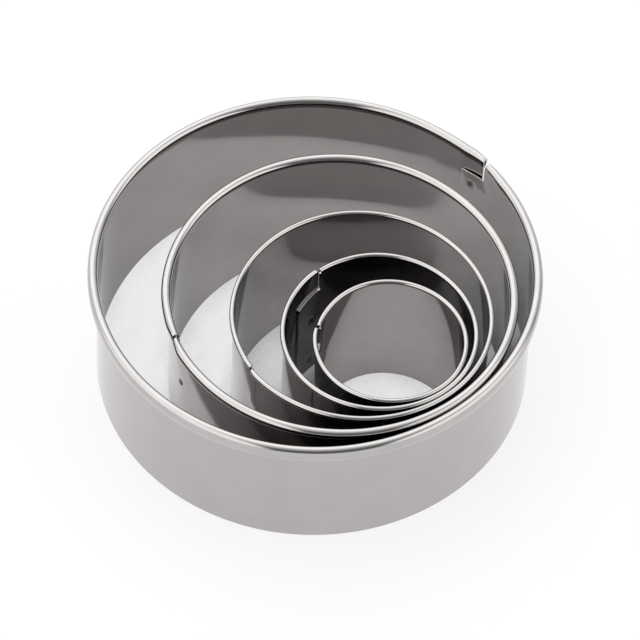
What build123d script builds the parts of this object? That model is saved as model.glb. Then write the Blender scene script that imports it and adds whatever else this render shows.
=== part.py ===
from build123d import *
import math
import os
from typing import NamedTuple

# A nested set of five plain round pastry cutters. All sizes are in millimetres.
# Each cutter is one strip of thin sheet, bent into a ring. Its bottom edge cuts and its top edge is
# rolled outward into a hollow rim. The strip's ends lap below the rim and are held by two spot welds.

# Outside diameters, measured over the rims.
largest_diameter = 97.0
large_diameter = 75.8
middle_diameter = 55.9
small_diameter = 41.9
smallest_diameter = 32.6

# The sheet and the height, which every cutter shares.
cutter_height = 32.0
sheet = 0.35

# The rolled rims. The wall flares outward on a gentle bend, then turns over in the tight roll. A flank
# is the gently curved outer side below the roll, and a foot is the bend that tucks the edge under.
# Bends are given by their outer radius, and flares, slants and leans in degrees.
deep_width = 2.3
wide_width = 2.0
narrow_width = 1.1
deep_bend = 6.0
wide_bend = 4.0
narrow_bend = 3.0
deep_flare = 13.0
wide_flare = 10.0
narrow_flare = 6.0
deep_flank = 2.7
wide_flank = 0.4
narrow_flank = 0.2
deep_slant = 12.0
no_slant = 0.0
deep_lean = 20.0
slight_lean = 5.0
deep_foot = 0.95
curl_clearance = 0.08

# The lapped seam. The tab is one end of the strip. It steps inward at the joggle, and lies against
# the inside of the other end, which is the flap.
short_lap = 5.4
long_lap = 7.0
lap_clearance = 0.03
joggle_length = 4.0

# The rim's two ends leave a gap, and the tab is cut down to a drop below the rim's top.
wide_gap = 1.1
narrow_gap = 0.45
wide_tab_drop = 6.0
narrow_tab_drop = 7.0

# The spot welds. The inset is measured from the flap's end, and a height from the cutting edge.
weld_diameter = 1.6
weld_inset = 2.2
low_weld_height = 3.1
largest_weld_height = 22.9
large_weld_height = 18.6
small_weld_height = 17.0
weld_dimple = 0.06
weld_clearance = 0.01

# Clearances between a cutter's rim and the wall around it, where the cutters crowd to one side.
outer_nest_clearance = 0.5
inner_nest_clearance = 0.1


class Rim(NamedTuple):
    """A rolled rim's section, and what is cut away at its seam."""
    width: float
    bend: float
    flare: float
    flank: float
    slant: float
    lean: float
    foot: float
    gap: float
    tab_drop: float
    lap: float


class Cutter(NamedTuple):
    """One ring of the set. Angles are in degrees, anticlockwise from +X."""
    name: str
    diameter: float
    rim: Rim
    seam_angle: float
    weld_height: float
    nest_angle: float = 0.0
    nest_clearance: float = 0.0


deep = Rim(deep_width, deep_bend, deep_flare, deep_flank, deep_slant, deep_lean, deep_foot,
           wide_gap, wide_tab_drop, short_lap)
wide = Rim(wide_width, wide_bend, wide_flare, wide_flank, no_slant, slight_lean, wide_width / 2,
           narrow_gap, wide_tab_drop, long_lap)
narrow = Rim(narrow_width, narrow_bend, narrow_flare, narrow_flank, no_slant, slight_lean, narrow_width / 2,
             narrow_gap, narrow_tab_drop, long_lap)

# Each cutter lies inside the one before it.
cutters = [
    Cutter("largest_cutter", largest_diameter, deep, 41.5, largest_weld_height),
    Cutter("large_cutter", large_diameter, wide, 202.5, large_weld_height,
           -46.7, outer_nest_clearance),
    Cutter("middle_cutter", middle_diameter, narrow, 215.0, small_weld_height,
           -50.4, outer_nest_clearance),
    Cutter("small_cutter", small_diameter, narrow, 131.5, small_weld_height,
           -48.5, inner_nest_clearance),
    Cutter("smallest_cutter", smallest_diameter, narrow, 170.5, small_weld_height,
           -45.0, inner_nest_clearance),
]


def polar(radius, angle):
    return Vector(radius * math.cos(math.radians(angle)), radius * math.sin(math.radians(angle)))


def wall_inner(cutter):
    return cutter.diameter / 2 - cutter.rim.width


def wall_outer(cutter):
    return wall_inner(cutter) + sheet


def tab_outer(cutter):
    return wall_inner(cutter) - lap_clearance


def tab_inner(cutter):
    return tab_outer(cutter) - sheet


def tab_top(cutter):
    return cutter_height - cutter.rim.tab_drop


def arc_angle(cutter, length):
    """The angle in degrees that a length along the cutter's wall takes up."""
    return math.degrees(length / wall_outer(cutter))


def strip_face(cutter):
    """The strip below the tab's top, seen from above, with the flap's end on +X."""
    lap = arc_angle(cutter, cutter.rim.lap)
    gap = arc_angle(cutter, cutter.rim.gap)
    body = 360 - gap - arc_angle(cutter, joggle_length)
    edges = [
        Line(polar(wall_inner(cutter), 0), polar(wall_outer(cutter), 0)),
        Line(polar(tab_outer(cutter), lap), polar(tab_inner(cutter), lap)),
    ]
    for wall, tab in ((wall_outer(cutter), tab_outer(cutter)), (wall_inner(cutter), tab_inner(cutter))):
        edges += [
            CenterArc((0, 0), wall, 0, body),
            Line(polar(wall, body), polar(tab, -gap)),
            CenterArc((0, 0), tab, -gap, gap),
            CenterArc((0, 0), tab, 0, lap),
        ]
    return make_face(edges)


def rim_face(cutter):
    """The wall above the tab's top and the hollow curl, as a section in the XZ plane."""
    rim = cutter.rim
    inner = wall_inner(cutter)
    outer = wall_outer(cutter)
    floor = tab_top(cutter)
    flank_radius = rim.flank / math.radians(rim.slant + rim.lean)
    flare_cos = math.cos(math.radians(rim.flare))
    slant_cos = math.cos(math.radians(rim.slant))
    flare_width = rim.bend * (1 - flare_cos)
    slant_width = flank_radius * (1 - slant_cos)
    roll = (rim.width - flare_width - slant_width) / (flare_cos + slant_cos)
    roll_centre = Vector(inner + flare_width + roll * flare_cos, cutter_height - roll)
    bend_centre = roll_centre + polar(roll - rim.bend, 180 - rim.flare)
    flank_centre = roll_centre + polar(roll - flank_radius, rim.slant)
    foot_centre = flank_centre + polar(flank_radius - rim.foot, -rim.lean)
    turn = math.degrees(math.acos((outer + curl_clearance - foot_centre.X) / rim.foot))
    edges = [
        Line((inner, floor), (outer, floor)),
        Line(foot_centre + polar(rim.foot, -turn), foot_centre + polar(rim.foot - sheet, -turn)),
    ]
    for wall, inset in ((inner, 0), (outer, sheet)):
        edges += [
            Line((wall, floor), (wall, bend_centre.Y)),
            CenterArc(bend_centre, rim.bend - inset, 180 - rim.flare, rim.flare),
            CenterArc(roll_centre, roll - inset, rim.slant, 180 - rim.flare - rim.slant),
            CenterArc(flank_centre, flank_radius - inset, -rim.lean, rim.lean + rim.slant),
            CenterArc(foot_centre, rim.foot - inset, -turn, turn - rim.lean),
        ]
    return Plane.XZ * make_face(edges)


def weld_rods(cutter, radius, start, end):
    """Two round rods at the spot welds, along the cutter's radius from start to end."""
    rod = Pos((start + end) / 2, 0, 0) * Cylinder(radius, end - start, rotation=(0, 90, 0))
    turned = Rot(0, 0, arc_angle(cutter, weld_inset)) * rod
    return [Pos(0, 0, height) * turned for height in (low_weld_height, cutter.weld_height)]


def band(cutter):
    """The cutter's one strip: wall, flap, tab and rolled rim, with the holes that the welds fill."""
    strip = extrude(strip_face(cutter), tab_top(cutter))
    for rod in weld_rods(cutter, weld_diameter / 2, tab_inner(cutter) - sheet, wall_outer(cutter) + sheet):
        strip -= rod
    return strip + revolve(rim_face(cutter), Axis.Z, 360 - arc_angle(cutter, cutter.rim.gap))


def spot_welds(cutter):
    """The two welds, each through the tab and the flap and a little below both surfaces."""
    start = tab_inner(cutter) + weld_dimple
    end = wall_outer(cutter) - weld_dimple
    return Compound(children=weld_rods(cutter, weld_diameter / 2 - weld_clearance, start, end))


os.makedirs("parts", exist_ok=True)
nest = Vector(0, 0)
around = None
for cutter in cutters:
    if around:
        reach = wall_inner(around) - cutter.diameter / 2 - cutter.nest_clearance
        nest += polar(reach, cutter.nest_angle)
    place = Pos(nest.X, nest.Y, 0) * Rot(0, 0, cutter.seam_angle)
    export_step(place * band(cutter), f"parts/{cutter.name}_band.step")
    export_step(place * spot_welds(cutter), f"parts/{cutter.name}_spot_welds.step")
    around = cutter
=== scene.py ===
import math
from typing import NamedTuple

import bpy
from mathutils import Matrix, Vector


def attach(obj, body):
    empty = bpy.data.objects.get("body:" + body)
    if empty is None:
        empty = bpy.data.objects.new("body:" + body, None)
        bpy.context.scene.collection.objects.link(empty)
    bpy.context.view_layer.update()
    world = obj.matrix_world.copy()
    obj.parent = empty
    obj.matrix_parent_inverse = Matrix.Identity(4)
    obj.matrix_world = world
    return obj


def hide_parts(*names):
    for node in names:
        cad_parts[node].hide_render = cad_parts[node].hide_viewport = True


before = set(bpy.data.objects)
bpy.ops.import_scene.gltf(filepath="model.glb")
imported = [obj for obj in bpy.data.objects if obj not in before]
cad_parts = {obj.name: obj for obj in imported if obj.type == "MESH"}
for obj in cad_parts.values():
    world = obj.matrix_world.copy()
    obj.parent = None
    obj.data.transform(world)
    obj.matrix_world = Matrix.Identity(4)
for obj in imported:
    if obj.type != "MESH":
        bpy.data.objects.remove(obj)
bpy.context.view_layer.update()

# A nested set of five plain round pastry cutters. Sizes are in millimetres, as in the part's source,
# and MM turns them into metres. Angles are in degrees, anticlockwise from +X.
MM = 0.001

# Outside diameters, measured over the rims.
largest_diameter = 97.0
large_diameter = 75.8
middle_diameter = 55.9
small_diameter = 41.9
smallest_diameter = 32.6

# The sheet and the height, which every cutter shares.
cutter_height = 32.0
sheet = 0.35

# The rolled rims. The wall flares outward on a gentle bend, then turns over in the tight roll. A flank
# is the gently curved outer side below the roll, and a foot is the bend that tucks the edge under.
# Bends are given by their outer radius.
deep_width = 2.3
wide_width = 2.0
narrow_width = 1.1
deep_bend = 6.0
wide_bend = 4.0
narrow_bend = 3.0
deep_flare = 13.0
wide_flare = 10.0
narrow_flare = 6.0
deep_flank = 2.7
wide_flank = 0.4
narrow_flank = 0.2
deep_slant = 12.0
no_slant = 0.0
deep_lean = 20.0
slight_lean = 5.0
deep_foot = 0.95
curl_clearance = 0.08

# The lapped seam. The tab is one end of the strip, and lies against the inside of the other end, which is
# the flap. Each takes half of the step between them, over the joggle.
short_lap = 5.4
long_lap = 7.0
lap_clearance = 0.03
joggle_length = 14.0
lap_step = sheet + lap_clearance

# The rim's two ends leave a gap, and the tab is cut down to a drop below the rim's top.
wide_gap = 1.1
narrow_gap = 0.45
wide_tab_drop = 6.0
narrow_tab_drop = 7.0

# The spot welds. The inset is measured from the flap's end, and a height from the cutting edge.
weld_diameter = 1.6
weld_inset = 2.2
low_weld_height = 3.1
largest_weld_height = 22.9
large_weld_height = 18.6
small_weld_height = 17.0
weld_clearance = 0.01

# Clearances between a cutter's rim and the wall around it, where the cutters crowd to one side.
outer_nest_clearance = 0.5
inner_nest_clearance = 0.1

# What rolling and hand work leave: rings out of round, curls pinched and cut on a slant at their ends, a
# strip whose ends lean out above the weld, a tab pressed in and cut on a slant, and welds pressed into a
# dish. The slot is what the wall below the rim leaves open next to the flap's end. The shrink draws the
# sheet in a little, so that it stays within its nominal size.
sheet_shrink = 0.025
ring_lobes = 3
ring_lobe = 0.12
ring_lobe_angle = 96.0
largest_splay = 0.25
flap_pinch = 0.42
tab_pinch = 0.25
pinch_widths = 2.0
curl_setback = 0.9
tab_slant = 0.7
tab_press = 0.08
narrow_slot = 0.12
flap_lean = 0.65
tab_lean = 0.35
narrow_lean = 0.1
lean_rise = 3.5
weld_sink = 0.08
weld_sink_reach = 1.4
weld_rim_depth = 0.03
weld_dish_depth = 0.2

# The meshes' fineness. A weld patch is the square of sheet around a spot weld's hole.
edge_round = 0.05
edge_segments = 2
edge_angle = 50.0
column_angle = 1.5
row_height = 2.0
curl_step = 12.0
flank_step = 4.0
weld_patch = 2.8
weld_patch_cells = 6
weld_dish_rings = 5
weld_sharp_angle = 40.0

# Material slots of the strip's wall and of its rim. Each has its outside, its inside and its cut edges.
wall_slot = 0
rim_slot = 3


class Face(NamedTuple):
    """The finish of one face of the strip: two colours of haze, the colour at grazing angles, the range of
    roughness and the strength of the rolling lines."""
    dark: tuple
    light: tuple
    edge: tuple
    smooth: float
    rough: float
    lines: float


# Rolling has burnished the rims. The insides of the walls are painted darker than the outsides, and darker
# still at grazing
# angles: painted shade that stands for the shaded floor they reflect within the rings.
rim_face = Face((0.46, 0.448, 0.44, 1), (0.5, 0.488, 0.48, 1), (1, 1, 1, 1), 0.06, 0.10, 0.015)
inside_face_with_painted_shade = Face((0.318, 0.301, 0.297, 1), (0.338, 0.32, 0.316, 1), (0.65, 0.65, 0.65, 1),
                   0.06, 0.10, 0.015)
outside_face = Face((0.46, 0.432, 0.432, 1), (0.485, 0.456, 0.456, 1), (1, 1, 1, 1), 0.08, 0.14, 0.02)
cut_face = Face((0.5, 0.488, 0.478, 1), (0.62, 0.608, 0.6, 1), (1, 1, 1, 1), 0.15, 0.25, 0.1)

# The sheet's texture, laid on the flat strip: brushed lines along it, and a haze. Below and above the two
# haze values it has its darker and its lighter colour, and lines and haze together give the roughness.
brushing = 0.6
line_stretch = (0.05, 7.0, 1.0)
line_detail = 3.0
line_depth = 0.02
haze_scale = 0.12
haze_detail = 4.0
haze_dark = 0.3
haze_light = 0.7
texture_smooth = 0.6
texture_rough = 1.4

# The welds' grain, and its two colours.
weld_grain = 2500.0
weld_grain_detail = 4.0
weld_grain_dark = 0.35
weld_grain_light = 0.7
weld_dark = (0.16, 0.15, 0.145, 1)
weld_light = (0.36, 0.34, 0.32, 1)
weld_smooth = 0.2
weld_rough = 0.5

# The floor, in metres. Its glow is the share of its own white that it is seen with. The rest is lit, and
# holds the shadow.
# That white is full where enough sky is open above the floor, and none where there is too little: painted
# shade in the gaps between the rings and by the object's foot. The sky is tested with rays around one
# direction behind the object, out to the reach.
floor_half = 3.0
floor_depth = 0.0003
floor_grain = 400.0
floor_dark = (0.93, 0.93, 0.92, 1)
floor_light = (0.95, 0.95, 0.94, 1)
floor_rough = 0.9
floor_shine = 0.1
floor_sky_rays = 32
floor_glow = 0.77
floor_no_sky = 0.07
floor_full_sky = 0.155
floor_reach = 0.1
floor_turn = 8.0
floor_rise = 20.0

# The studio. Directions are turns to the left of straight behind the object, and rises above the floor. The
# dome brightens towards its direction. The walls at the sides brighten away from their centre, and fade out
# from their front to their back.
dome_turn = 20.0
dome_rise = 40.0
dome_dark_from = -0.1
dome_dark = 0.2
dome_bright = 1.3
side_from = 0.3
side_to = 0.52
side_centre = 0.13
side_front = 0.1
side_back = 0.5
side_level = 1.6
key_turn = 20.0
key_rise = 50.0
key_level = 0.6
key_distance = 1.1
key_width = 1.2
key_depth = 1.0

# The camera, fitted to the rims in the photograph.
camera_aim = Vector((1.4, -1.5, 16.0)) * MM
camera_distance = 966.8 * MM
camera_azimuth = 0.14
camera_elevation = 52.42
camera_roll = 2.59
camera_lens = 253.1


class Bump(NamedTuple):
    """A stretch of a ring that is out of round, by a height outward that fades out at a reach each way."""
    angle: float
    reach: float
    height: float


class Rim(NamedTuple):
    """A rolled rim's section, and what is cut away at its seam."""
    width: float
    bend: float
    flare: float
    flank: float
    slant: float
    lean: float
    foot: float
    gap: float
    slot: float
    tab_drop: float
    lap: float
    flap_lean: float
    tab_lean: float


class Cutter(NamedTuple):
    """One ring of the set."""
    name: str
    diameter: float
    rim: Rim
    seam_angle: float
    weld_height: float
    nest_angle: float = 0.0
    nest_clearance: float = 0.0
    lobe: float = ring_lobe
    bumps: tuple = ()
    splay: float = 0.0


deep = Rim(deep_width, deep_bend, deep_flare, deep_flank, deep_slant, deep_lean, deep_foot,
           wide_gap, wide_gap, wide_tab_drop, short_lap, flap_lean, tab_lean)
wide = Rim(wide_width, wide_bend, wide_flare, wide_flank, no_slant, slight_lean, wide_width / 2,
           narrow_gap, narrow_slot, wide_tab_drop, long_lap, narrow_lean, narrow_lean)
narrow = Rim(narrow_width, narrow_bend, narrow_flare, narrow_flank, no_slant, slight_lean, narrow_width / 2,
             narrow_gap, narrow_slot, narrow_tab_drop, long_lap, narrow_lean, narrow_lean)

# Each cutter lies inside the one before it.
cutters = [
    Cutter("largest_cutter", largest_diameter, deep, 41.5, largest_weld_height,
           lobe=0.0, bumps=(Bump(310.0, 55.0, -0.4), Bump(38.0, 20.0, 0.2)), splay=largest_splay),
    Cutter("large_cutter", large_diameter, wide, 202.5, large_weld_height,
           -46.7, outer_nest_clearance),
    Cutter("middle_cutter", middle_diameter, narrow, 215.0, small_weld_height,
           -50.4, outer_nest_clearance),
    Cutter("small_cutter", small_diameter, narrow, 131.5, small_weld_height,
           -48.5, inner_nest_clearance),
    Cutter("smallest_cutter", smallest_diameter, narrow, 170.5, small_weld_height,
           -45.0, inner_nest_clearance, bumps=(Bump(30.0, 50.0, 0.2),)),
]


def wall_inner(cutter):
    return cutter.diameter / 2 - cutter.rim.width


def wall_outer(cutter):
    return wall_inner(cutter) + sheet


def tab_top(cutter):
    return cutter_height - cutter.rim.tab_drop


def weld_heights(cutter):
    return (low_weld_height, cutter.weld_height)


def nest_centres():
    """The centre of each cutter, in millimetres, from the largest one inward."""
    centres = [Vector((0, 0, 0))]
    for around, cutter in zip(cutters, cutters[1:]):
        reach = wall_inner(around) - cutter.diameter / 2 - cutter.nest_clearance
        angle = math.radians(cutter.nest_angle)
        centres.append(centres[-1] + reach * Vector((math.cos(angle), math.sin(angle), 0)))
    return centres


def spaced(breaks, step):
    """Values from the first break to the last that hold every break and lie about step apart."""
    values = [breaks[0]]
    for start, end in zip(breaks, breaks[1:]):
        count = max(1, math.ceil((end - start) / step - 0.01))
        values += [start + (end - start) * (i + 1) / count for i in range(count)]
    return values


def with_patches(breaks, centres, step):
    """Values as spaced gives them, with each weld patch around its centre cut into its own cells."""
    half = weld_patch / 2
    marks = sorted(breaks + [c - half for c in centres] + [c + half for c in centres])
    values = [marks[0]]
    for start, end in zip(marks, marks[1:]):
        in_patch = any(abs((start + end) / 2 - c) < half for c in centres)
        part = spaced([start, end], weld_patch / weld_patch_cells if in_patch else step)
        values += part[1:]
    return values


def smooth_step(value):
    value = min(1.0, max(0.0, value))
    return value * value * (3 - 2 * value)


def wave(cutter, angle, height):
    """How far out of round the sheet has been left, in millimetres. Outward is positive."""
    turned = math.degrees(angle)
    out = cutter.lobe * math.cos(ring_lobes * math.radians(turned - ring_lobe_angle)) - sheet_shrink
    for bump in cutter.bumps:
        off = (turned - bump.angle + 180) % 360 - 180
        out += bump.height * smooth_step(1 - abs(off) / bump.reach)
    return out + cutter.splay * max(0.0, 1 - height / tab_top(cutter))


class Bend(NamedTuple):
    """An arc of a rim's section, clockwise from start to end, by its outer radius."""
    centre: Vector
    radius: float
    start: float
    end: float
    step: float


def rim_bends(cutter):
    """The rim's section from the wall to the curl's hidden end: flare, roll, flank and foot."""
    rim = cutter.rim
    inner = wall_inner(cutter)

    def along(length, angle):
        return length * Vector((math.cos(math.radians(angle)), math.sin(math.radians(angle))))

    flank_radius = rim.flank / math.radians(rim.slant + rim.lean)
    flare_cos = math.cos(math.radians(rim.flare))
    slant_cos = math.cos(math.radians(rim.slant))
    flare_width = rim.bend * (1 - flare_cos)
    slant_width = flank_radius * (1 - slant_cos)
    roll = (rim.width - flare_width - slant_width) / (flare_cos + slant_cos)
    roll_centre = Vector((inner + flare_width + roll * flare_cos, cutter_height - roll))
    bend_centre = roll_centre + along(roll - rim.bend, 180 - rim.flare)
    flank_centre = roll_centre + along(roll - flank_radius, rim.slant)
    foot_centre = flank_centre + along(flank_radius - rim.foot, -rim.lean)
    turn = math.degrees(math.acos((wall_outer(cutter) + curl_clearance - foot_centre.x) / rim.foot))
    return [
        Bend(bend_centre, rim.bend, 180.0, 180.0 - rim.flare, flank_step),
        Bend(roll_centre, roll, 180.0 - rim.flare, rim.slant, curl_step),
        Bend(flank_centre, flank_radius, rim.slant, -rim.lean, flank_step),
        Bend(foot_centre, rim.foot, -rim.lean, -turn, curl_step),
    ]


def wall_top(cutter):
    return rim_bends(cutter)[0].centre.y


class Row(NamedTuple):
    """One line of points along the strip, at a radius and a height, and its distance up the flat sheet."""
    radius: float
    height: float
    rise: float


def rows(cutter):
    """The strip's middle surface from the cutting edge to the curl's hidden end."""
    breaks = [0.0, tab_top(cutter), wall_top(cutter)]
    heights = with_patches(breaks, list(weld_heights(cutter)), row_height)
    made = [Row(wall_inner(cutter) + sheet / 2, height, height) for height in heights]
    for bend in rim_bends(cutter):
        radius = bend.radius - sheet / 2
        begin = made[-1].rise
        for turned in spaced([0.0, bend.start - bend.end], bend.step)[1:]:
            angle = math.radians(bend.start - turned)
            spot = bend.centre + radius * Vector((math.cos(angle), math.sin(angle)))
            made.append(Row(spot.x, spot.y, begin + radius * math.radians(turned)))
    return made


def strip_mesh(cutter, centre):
    """The strip of a cutter as its middle surface: wall, flap, tab and rolled rim, with the welds' holes."""
    outer = wall_outer(cutter)
    top = tab_top(cutter)
    round_length = 2 * math.pi * outer
    rim_end = round_length - cutter.rim.gap
    middle_radius = wall_inner(cutter) + sheet / 2
    lap = cutter.rim.lap
    weld_places = [weld_inset, round_length + weld_inset]
    breaks = [0.0, lap, rim_end, round_length, round_length + lap]
    columns = with_patches(breaks, weld_places, math.radians(column_angle) * outer)
    lines = rows(cutter)
    rises = [line.rise for line in lines]
    curl_length = rises[-1] - wall_top(cutter)
    roll_start = wall_top(cutter) + cutter.rim.bend * math.radians(cutter.rim.flare)
    points = []
    flat = []
    index = {}

    def seam_out(along, height):
        """How far the strip is moved outward: half a step at each end, and a lean above the upper weld."""
        before = rim_end - along
        flap_near = smooth_step(1 - along / joggle_length)
        tab_near = smooth_step(1 - before / joggle_length)
        lean = cutter.rim.flap_lean * max(0.0, 1 - along / lap)
        lean += cutter.rim.tab_lean * smooth_step(1 - abs(before) / lap)
        pressed = tab_press * max(0.0, along - round_length) / lap
        above = smooth_step((height - cutter.weld_height) / lean_rise)
        return lap_step / 2 * (flap_near - tab_near) + lean * above - pressed

    def tab_up(along, height):
        """How far the tab's slanted top edge is pulled up."""
        near = smooth_step((along - rim_end + lap) / lap)
        lapped = max(0.0, along - round_length) / lap
        return tab_slant * near * (1 - lapped) * max(0.0, 1 - abs(height - top) / lap)

    def pinched(along, offset):
        """A curl's distance from the wall's middle, which narrows towards both ends of the rim."""
        reach = pinch_widths * cutter.rim.width
        narrowed = flap_pinch * smooth_step(1 - along / reach)
        narrowed += tab_pinch * smooth_step(1 - (rim_end - along) / reach)
        return offset - max(0.0, offset - sheet - curl_clearance) * narrowed

    def sunk(along, rise):
        """How far a weld has pressed the sheet outward around it."""
        places = [(a, h) for a in weld_places for h in weld_heights(cutter)]
        away = min(math.hypot(along - a, rise - h) for a, h in places)
        return weld_sink * smooth_step(1 - away / weld_sink_reach)

    def add(along, row):
        """A point on the middle surface. The curl's end at the flap is cut on a slant."""
        curled = max(0.0, row.rise - wall_top(cutter)) / curl_length
        along += curl_setback * curled * max(0.0, 1 - along / lap)
        if top < row.rise <= wall_top(cutter):
            along += (cutter.rim.gap - cutter.rim.slot) * max(0.0, 1 - (rim_end - along) / lap)
        angle = math.radians(cutter.seam_angle) + along / outer
        radius = middle_radius + pinched(along, row.radius - middle_radius)
        radius += wave(cutter, angle, row.height)
        radius += seam_out(along, row.height) + sunk(along, row.rise)
        height = row.height if curled else row.height + tab_up(along, row.height)
        level = sheet_shrink / 2 + height * (1 - sheet_shrink / cutter_height)
        spot = Vector((radius * math.cos(angle), radius * math.sin(angle), level))
        points.append((centre + spot) * MM)
        flat.append((along, row.rise))
        return len(points) - 1

    def corner(column, line):
        if (column, line) not in index:
            index[column, line] = add(columns[column], lines[line])
        return index[column, line]

    def middle(values, i):
        return (values[i] + values[i + 1]) / 2

    def near_weld(along, rise):
        half = weld_patch / 2
        places = [(a, h) for a in weld_places for h in weld_heights(cutter)]
        return any(abs(along - a) < half and abs(rise - h) < half for a, h in places)

    faces = []
    slots = []
    for column in range(len(columns) - 1):
        for line in range(len(lines) - 1):
            along = middle(columns, column)
            rise = middle(rises, line)
            cut_away = rise > top and along > rim_end
            if not cut_away and not near_weld(along, rise):
                cell = [(column, line), (column + 1, line), (column + 1, line + 1), (column, line + 1)]
                faces.append([corner(*c) for c in cell])
                slots.append(wall_slot if rise < roll_start else rim_slot)

    def nearest(values, wanted):
        return min(range(len(values)), key=lambda i: abs(values[i] - wanted))

    cells = weld_patch_cells
    for along in weld_places:
        for height in weld_heights(cutter):
            left = nearest(columns, along - weld_patch / 2)
            low = nearest(rises, height - weld_patch / 2)
            ring = [(left + i, low) for i in range(cells)]
            ring += [(left + cells, low + i) for i in range(cells)]
            ring += [(left + cells - i, low + cells) for i in range(cells)]
            ring += [(left, low + cells - i) for i in range(cells)]
            square = [corner(*c) for c in ring]
            hole = []
            for column, line in ring:
                way = Vector((columns[column] - along, rises[line] - height)).normalized()
                spot = way * weld_diameter / 2
                hole.append(add(along + spot.x, Row(lines[low].radius, height + spot.y, height + spot.y)))
            for i in range(len(ring)):
                j = (i + 1) % len(ring)
                faces.append([square[i], square[j], hole[j], hole[i]])
                slots.append(wall_slot)

    mesh = bpy.data.meshes.new(cutter.name + "_strip")
    mesh.from_pydata(points, [], faces)
    for face, slot in zip(mesh.polygons, slots):
        face.material_index = slot
    layer = mesh.uv_layers.new(name="strip")
    for loop in mesh.loops:
        layer.data[loop.index].uv = flat[loop.vertex_index]
    mesh.shade_smooth()
    return mesh


def add_piece(name, mesh, materials, cutter, node):
    """A piece that stands for one CAD node and moves with the cutter."""
    piece = bpy.data.objects.new(name, mesh)
    bpy.context.scene.collection.objects.link(piece)
    for material in materials:
        mesh.materials.append(material)
    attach(piece, cutter.name)
    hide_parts(node)
    return piece


def thicken(piece):
    """Gives a middle surface its sheet thickness and rounds its cut edges."""
    solid = piece.modifiers.new("sheet", "SOLIDIFY")
    solid.thickness = sheet * MM
    solid.offset = 0
    solid.use_even_offset = True
    solid.material_offset = 1
    solid.material_offset_rim = 2
    bevel = piece.modifiers.new("edges", "BEVEL")
    bevel.width = edge_round * MM
    bevel.segments = edge_segments
    bevel.limit_method = "ANGLE"
    bevel.angle_limit = math.radians(edge_angle)
    normals = piece.modifiers.new("normals", "WEIGHTED_NORMAL")
    normals.keep_sharp = False


def weld_mesh(cutter, centre):
    """The two welds of a cutter, each a plug with a dished face at both ends."""
    angle = math.radians(cutter.seam_angle) + weld_inset / wall_outer(cutter)
    inner = wall_inner(cutter) - lap_step / 2 + weld_sink + wave(cutter, angle, tab_top(cutter))
    outer = inner + sheet + lap_step
    radius = weld_diameter / 2 - weld_clearance
    depth = weld_dish_depth - weld_rim_depth
    sides = 4 * weld_patch_cells
    profile = []
    for i in range(1, weld_dish_rings + 1):
        share = i / weld_dish_rings
        profile.append((radius * share, inner + weld_rim_depth + depth * (1 - share * share)))
    for i in range(weld_dish_rings, 0, -1):
        share = i / weld_dish_rings
        profile.append((radius * share, outer - weld_rim_depth - depth * (1 - share * share)))
    out = Vector((math.cos(angle), math.sin(angle), 0))
    side = Vector((-math.sin(angle), math.cos(angle), 0))
    up = Vector((0, 0, 1))
    points = []
    faces = []
    for height in weld_heights(cutter):
        first = len(points)
        base = centre + up * height
        for spread, reach in profile:
            for i in range(sides):
                turn = 2 * math.pi * i / sides
                spot = base + out * reach + (side * math.cos(turn) + up * math.sin(turn)) * spread
                points.append(spot * MM)
        for ring in range(len(profile) - 1):
            for i in range(sides):
                j = (i + 1) % sides
                low = first + ring * sides
                high = low + sides
                faces.append([low + i, low + j, high + j, high + i])
        last = first + (len(profile) - 1) * sides
        for end, reach in ((first, inner + weld_dish_depth), (last, outer - weld_dish_depth)):
            points.append((base + out * reach) * MM)
            middle = len(points) - 1
            for i in range(sides):
                j = (i + 1) % sides
                faces.append([middle, end + j, end + i] if end == first else [middle, end + i, end + j])
    mesh = bpy.data.meshes.new(cutter.name + "_welds")
    mesh.from_pydata(points, [], faces)
    mesh.shade_smooth()
    mesh.set_sharp_from_angle(angle=math.radians(weld_sharp_angle))
    return mesh


def new_material(name):
    material = bpy.data.materials.new(name)
    material.use_nodes = True
    return material, material.node_tree


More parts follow.
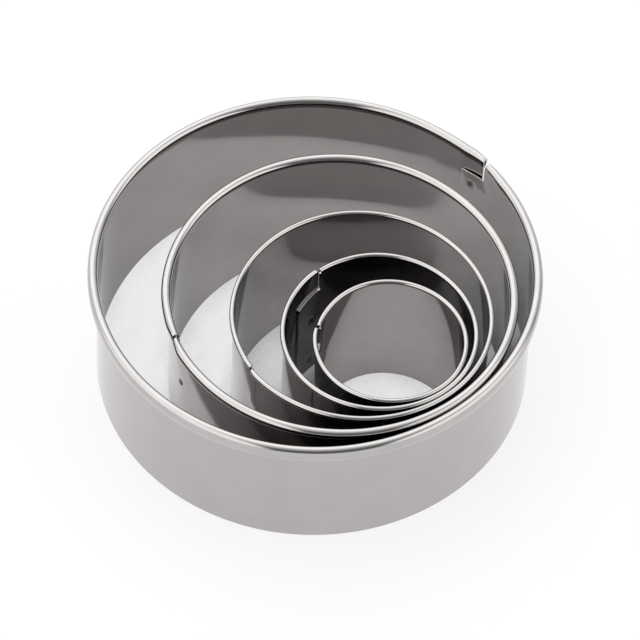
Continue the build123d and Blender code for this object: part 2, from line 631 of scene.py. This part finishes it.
def sheet_steel(name, face):
    """Rolled stainless sheet: faint rolling lines along the strip and a little haze."""
    material, tree = new_material(name)
    nodes = tree.nodes
    link = tree.links.new
    shader = nodes["Principled BSDF"]
    shader.inputs["Metallic"].default_value = 1.0
    shader.inputs["Specular Tint"].default_value = face.edge
    shader.inputs["Anisotropic"].default_value = brushing
    tangent = nodes.new("ShaderNodeTangent")
    tangent.direction_type = "UV_MAP"
    tangent.uv_map = "strip"
    link(tangent.outputs["Tangent"], shader.inputs["Tangent"])

    flat = nodes.new("ShaderNodeUVMap")
    flat.uv_map = "strip"
    stretch = nodes.new("ShaderNodeMapping")
    stretch.inputs["Scale"].default_value = line_stretch
    link(flat.outputs["UV"], stretch.inputs["Vector"])
    lines = nodes.new("ShaderNodeTexNoise")
    lines.inputs["Scale"].default_value = 1.0
    lines.inputs["Detail"].default_value = line_detail
    link(stretch.outputs["Vector"], lines.inputs["Vector"])

    haze = nodes.new("ShaderNodeTexNoise")
    haze.inputs["Scale"].default_value = haze_scale
    haze.inputs["Detail"].default_value = haze_detail
    link(flat.outputs["UV"], haze.inputs["Vector"])

    tint = nodes.new("ShaderNodeValToRGB")
    tint.color_ramp.elements[0].position = haze_dark
    tint.color_ramp.elements[0].color = face.dark
    tint.color_ramp.elements[1].position = haze_light
    tint.color_ramp.elements[1].color = face.light
    link(haze.outputs["Fac"], tint.inputs["Fac"])
    link(tint.outputs["Color"], shader.inputs["Base Color"])

    blend = nodes.new("ShaderNodeMath")
    blend.operation = "ADD"
    link(lines.outputs["Fac"], blend.inputs[0])
    link(haze.outputs["Fac"], blend.inputs[1])
    rough = nodes.new("ShaderNodeMapRange")
    rough.inputs["From Min"].default_value = texture_smooth
    rough.inputs["From Max"].default_value = texture_rough
    rough.inputs["To Min"].default_value = face.smooth
    rough.inputs["To Max"].default_value = face.rough
    link(blend.outputs["Value"], rough.inputs["Value"])
    link(rough.outputs["Result"], shader.inputs["Roughness"])

    bump = nodes.new("ShaderNodeBump")
    bump.inputs["Strength"].default_value = face.lines
    bump.inputs["Distance"].default_value = line_depth * MM
    link(lines.outputs["Fac"], bump.inputs["Height"])
    link(bump.outputs["Normal"], shader.inputs["Normal"])
    return material


def weld_steel():
    """Remelted steel, dull and tinted by heat."""
    material, tree = new_material("weld_steel")
    nodes = tree.nodes
    link = tree.links.new
    shader = nodes["Principled BSDF"]
    shader.inputs["Metallic"].default_value = 1.0
    place = nodes.new("ShaderNodeTexCoord")
    grain = nodes.new("ShaderNodeTexNoise")
    grain.inputs["Scale"].default_value = weld_grain
    grain.inputs["Detail"].default_value = weld_grain_detail
    link(place.outputs["Object"], grain.inputs["Vector"])
    tint = nodes.new("ShaderNodeValToRGB")
    tint.color_ramp.elements[0].position = weld_grain_dark
    tint.color_ramp.elements[0].color = weld_dark
    tint.color_ramp.elements[1].position = weld_grain_light
    tint.color_ramp.elements[1].color = weld_light
    link(grain.outputs["Fac"], tint.inputs["Fac"])
    link(tint.outputs["Color"], shader.inputs["Base Color"])
    rough = nodes.new("ShaderNodeMapRange")
    rough.inputs["To Min"].default_value = weld_smooth
    rough.inputs["To Max"].default_value = weld_rough
    link(grain.outputs["Fac"], rough.inputs["Value"])
    link(rough.outputs["Result"], shader.inputs["Roughness"])
    return material


def sky_direction(turn, rise):
    """A unit vector that points up at rise, and turn degrees to the left of straight behind the object."""
    around = math.radians(90 + turn)
    up = math.radians(rise)
    return Vector((math.cos(around) * math.cos(up), math.sin(around) * math.cos(up), math.sin(up)))


def floor_white():
    """A white floor that keeps the object's shadow, with painted shade in its glow where little sky is open.
    """
    material, tree = new_material("floor_white")
    nodes = tree.nodes
    link = tree.links.new
    shader = nodes["Principled BSDF"]
    shader.inputs["Roughness"].default_value = floor_rough
    shader.inputs["Specular IOR Level"].default_value = floor_shine
    grain = nodes.new("ShaderNodeTexNoise")
    grain.inputs["Scale"].default_value = floor_grain
    tint = nodes.new("ShaderNodeValToRGB")
    tint.color_ramp.elements[0].color = floor_dark
    tint.color_ramp.elements[1].color = floor_light
    link(grain.outputs["Fac"], tint.inputs["Fac"])
    link(tint.outputs["Color"], shader.inputs["Base Color"])

    # The glow fades where little sky is open above the floor: painted shade.
    open_sky = nodes.new("ShaderNodeAmbientOcclusion")
    open_sky.inputs["Distance"].default_value = floor_reach
    open_sky.inputs["Normal"].default_value = sky_direction(floor_turn, floor_rise)
    open_sky.samples = floor_sky_rays
    glow_with_painted_shade = nodes.new("ShaderNodeMapRange")
    glow_with_painted_shade.inputs["From Min"].default_value = floor_no_sky
    glow_with_painted_shade.inputs["From Max"].default_value = floor_full_sky
    link(open_sky.outputs["AO"], glow_with_painted_shade.inputs["Value"])
    white = nodes.new("ShaderNodeEmission")
    link(glow_with_painted_shade.outputs["Result"], white.inputs["Strength"])
    path = nodes.new("ShaderNodeLightPath")
    seen = path.outputs["Is Camera Ray"]
    for kind in ("Is Glossy Ray", "Is Transmission Ray"):
        either = nodes.new("ShaderNodeMath")
        either.operation = "ADD"
        either.use_clamp = True
        link(seen, either.inputs[0])
        link(path.outputs[kind], either.inputs[1])
        seen = either.outputs["Value"]
    share = nodes.new("ShaderNodeMath")
    share.operation = "MULTIPLY"
    share.inputs[1].default_value = floor_glow
    link(seen, share.inputs[0])
    blend = nodes.new("ShaderNodeMixShader")
    link(share.outputs["Value"], blend.inputs["Fac"])
    link(shader.outputs["BSDF"], blend.inputs[1])
    link(white.outputs["Emission"], blend.inputs[2])
    link(blend.outputs["Shader"], nodes["Material Output"].inputs["Surface"])
    return material


def add_floor():
    """A thin slab, so that the open-sky test finds none below the floor."""
    square = ((-1, -1), (1, -1), (1, 1), (-1, 1))
    corners = [(x * floor_half, y * floor_half, z) for z in (-floor_depth, 0) for x, y in square]
    mesh = bpy.data.meshes.new("floor")
    mesh.from_pydata(corners, [], [[3, 2, 1, 0], [4, 5, 6, 7]])
    mesh.materials.append(floor_white())
    floor = bpy.data.objects.new("floor", mesh)
    bpy.context.scene.collection.objects.link(floor)


def softbox(name, turn, rise, distance, width, depth, radiance):
    """A rectangular lamp that faces the object."""
    data = bpy.data.lights.new(name, "AREA")
    data.shape = "RECTANGLE"
    data.size = width
    data.size_y = depth
    data.energy = radiance * math.pi * width * depth
    lamp = bpy.data.objects.new(name, data)
    bpy.context.scene.collection.objects.link(lamp)
    lamp.location = sky_direction(turn, rise) * distance
    lamp.rotation_mode = "QUATERNION"
    lamp.rotation_quaternion = (-lamp.location).to_track_quat("-Z", "Y")
    lamp.visible_camera = False


def add_world():
    """A soft dome, brightest behind the object, with a bright wall at each side."""
    world = bpy.data.worlds.new("studio")
    bpy.context.scene.world = world
    world.use_nodes = True
    nodes = world.node_tree.nodes
    link = world.node_tree.links.new

    def math_node(operation, first, second):
        node = nodes.new("ShaderNodeMath")
        node.operation = operation
        for socket, value in zip(node.inputs, (first, second)):
            if isinstance(value, float):
                socket.default_value = value
            else:
                link(value, socket)
        return node.outputs["Value"]

    def ramp(value, low, high, at_low, at_high):
        node = nodes.new("ShaderNodeMapRange")
        node.interpolation_type = "SMOOTHSTEP"
        link(value, node.inputs["Value"])
        for name, number in zip(("From Min", "From Max", "To Min", "To Max"), (low, high, at_low, at_high)):
            node.inputs[name].default_value = number
        return node.outputs["Result"]

    place = nodes.new("ShaderNodeTexCoord")
    towards = nodes.new("ShaderNodeVectorMath")
    towards.operation = "DOT_PRODUCT"
    towards.inputs[1].default_value = sky_direction(dome_turn, dome_rise)
    link(place.outputs["Generated"], towards.inputs[0])
    dome = ramp(towards.outputs["Value"], dome_dark_from, 1.0, dome_dark, dome_bright)

    axes = nodes.new("ShaderNodeSeparateXYZ")
    link(place.outputs["Generated"], axes.inputs["Vector"])
    aside = math_node("ABSOLUTE", math_node("SUBTRACT", axes.outputs["X"], side_centre), 0.0)
    walls = ramp(aside, side_from, side_to, 0.0, side_level)
    front = ramp(axes.outputs["Y"], side_front, side_back, 1.0, 0.0)
    level = math_node("MAXIMUM", dome, math_node("MULTIPLY", walls, front))
    back = nodes["Background"]
    back.inputs["Color"].default_value = (1.0, 1.0, 1.0, 1)
    link(level, back.inputs["Strength"])


def add_camera():
    data = bpy.data.cameras.new("camera")
    data.lens = camera_lens
    camera = bpy.data.objects.new("camera", data)
    bpy.context.scene.collection.objects.link(camera)
    turn = math.radians(camera_azimuth)
    rise = math.radians(camera_elevation)
    back = Vector((-math.sin(turn) * math.cos(rise), -math.cos(turn) * math.cos(rise), math.sin(rise)))
    aim = (-back).to_track_quat("-Z", "Y").to_matrix().to_4x4()
    roll = Matrix.Rotation(math.radians(camera_roll), 4, "Z")
    camera.matrix_world = Matrix.Translation(camera_aim + back * camera_distance) @ aim @ roll
    bpy.context.scene.camera = camera


outside_steel = sheet_steel("outside_steel", outside_face)
# The insides get a darker steel: painted shade of the floor between and within the rings.
inside_steel_with_painted_shade = sheet_steel("inside_steel_with_painted_shade", inside_face_with_painted_shade)
cut_steel = sheet_steel("cut_steel", cut_face)
rim_steel = sheet_steel("rim_steel", rim_face)
strip_steels = [outside_steel, inside_steel_with_painted_shade, cut_steel, outside_steel, rim_steel, cut_steel]
weld_steels = [weld_steel()]
for cutter, centre in zip(cutters, nest_centres()):
    band = add_piece(cutter.name + "_strip", strip_mesh(cutter, centre), strip_steels, cutter,
                     cutter.name + "_band")
    thicken(band)
    add_piece(cutter.name + "_welds", weld_mesh(cutter, centre), weld_steels, cutter,
              cutter.name + "_spot_welds")

add_floor()
add_world()
softbox("key", key_turn, key_rise, key_distance, key_width, key_depth, key_level)
add_camera()
bpy.context.scene.view_settings.view_transform = "Standard"
